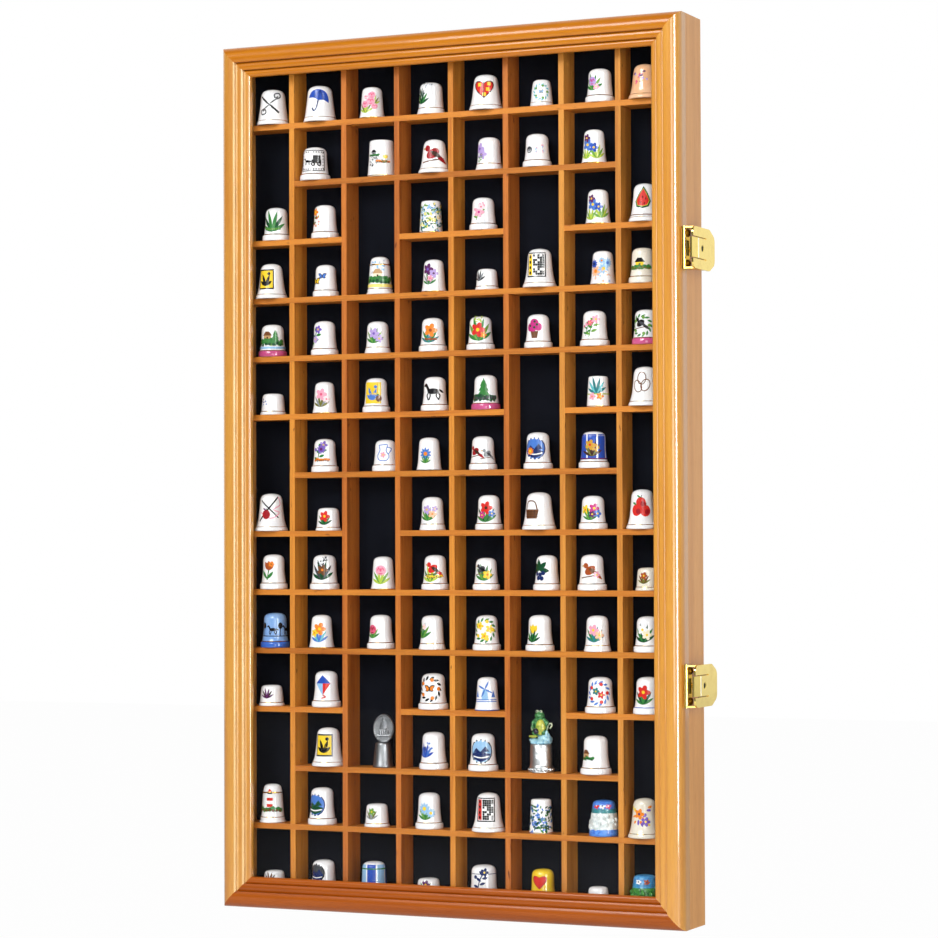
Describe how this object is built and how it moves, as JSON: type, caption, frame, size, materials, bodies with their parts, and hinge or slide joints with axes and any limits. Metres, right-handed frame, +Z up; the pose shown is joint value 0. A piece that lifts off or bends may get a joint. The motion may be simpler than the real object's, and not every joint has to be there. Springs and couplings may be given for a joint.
{
  "type": "thimble display case",
  "caption": "Shallow wall-hung wooden case with a lattice of small open cells on a dark felt back, closed by a mitred glazed door on side hinges with brass snap latches.",
  "frame": {"origin": "in the wall plane, midway between the entry holes of the two hanger plates on the back", "axes": "+X to the right as seen from the front, +Y into the wall, so the front faces -Y, and +Z up along the height"},
  "size_m": [0.362, 0.043, 0.61],
  "materials": {
    "case_wood": "satin lacquer, orange-honey",
    "lattice_wood": "satin lacquer",
    "batten_wood": "raw",
    "panel_board": "raw hardboard",
    "felt": "felt, near black",
    "brass": "polished brass plate",
    "plate_steel": "zinc plated",
    "glass": "clear"
  },
  "bodies": {
    "carcase": {"carcase_left": "case_wood", "carcase_right": "case_wood", "carcase_top": "case_wood", "carcase_bottom": "case_wood", "back_panel": "panel_board", "felt_liner": "felt", "hanging_batten": "batten_wood", "hanger_plates": "plate_steel", "divider_1": "lattice_wood", "divider_2": "lattice_wood", "divider_3": "lattice_wood", "divider_4": "lattice_wood", "divider_5": "lattice_wood", "divider_6": "lattice_wood", "divider_7": "lattice_wood", "shelf_01": "lattice_wood", "shelf_02": "lattice_wood", "shelf_03": "lattice_wood", "shelf_04": "lattice_wood", "shelf_05": "lattice_wood", "shelf_06": "lattice_wood", "shelf_07": "lattice_wood", "shelf_08": "lattice_wood", "shelf_09": "lattice_wood", "shelf_10": "lattice_wood", "shelf_11": "lattice_wood", "shelf_12": "lattice_wood", "shelf_13": "lattice_wood", "hinge_upper_carcase_leaf": "brass", "hinge_lower_carcase_leaf": "brass", "hinge_upper_pin": "brass", "hinge_lower_pin": "brass", "latch_upper_keeper_stud": "brass", "latch_lower_keeper_stud": "brass"},
    "door": {"door_left": "case_wood", "door_right": "case_wood", "door_top": "case_wood", "door_bottom": "case_wood", "door_glass": "glass", "glazing_bead_left": "case_wood", "glazing_bead_right": "case_wood", "glazing_bead_top": "case_wood", "glazing_bead_bottom": "case_wood", "hinge_upper_door_leaf": "brass", "hinge_lower_door_leaf": "brass", "latch_upper_base": "brass", "latch_lower_base": "brass", "latch_upper_pin": "brass", "latch_lower_pin": "brass", "latch_screws": "brass"},
    "latch_upper": {"latch_upper_lever": "brass"},
    "latch_lower": {"latch_lower_lever": "brass"}
  },
  "joints": [
    {"name": "door_hinge", "type": "hinge", "parent": "carcase", "child": "door", "pos_m": [-0.1762, -0.029, -0.279], "axis": [0, 0, -1], "range_deg": [0, 170]},
    {"name": "latch_upper_hinge", "type": "hinge", "parent": "door", "child": "latch_upper", "pos_m": [0.1757, -0.0386, -0.132], "axis": [0, 0, -1], "range_deg": [0, 95]},
    {"name": "latch_lower_hinge", "type": "hinge", "parent": "door", "child": "latch_lower", "pos_m": [0.1757, -0.0386, -0.4225], "axis": [0, 0, -1], "range_deg": [0, 95]}
  ]
}
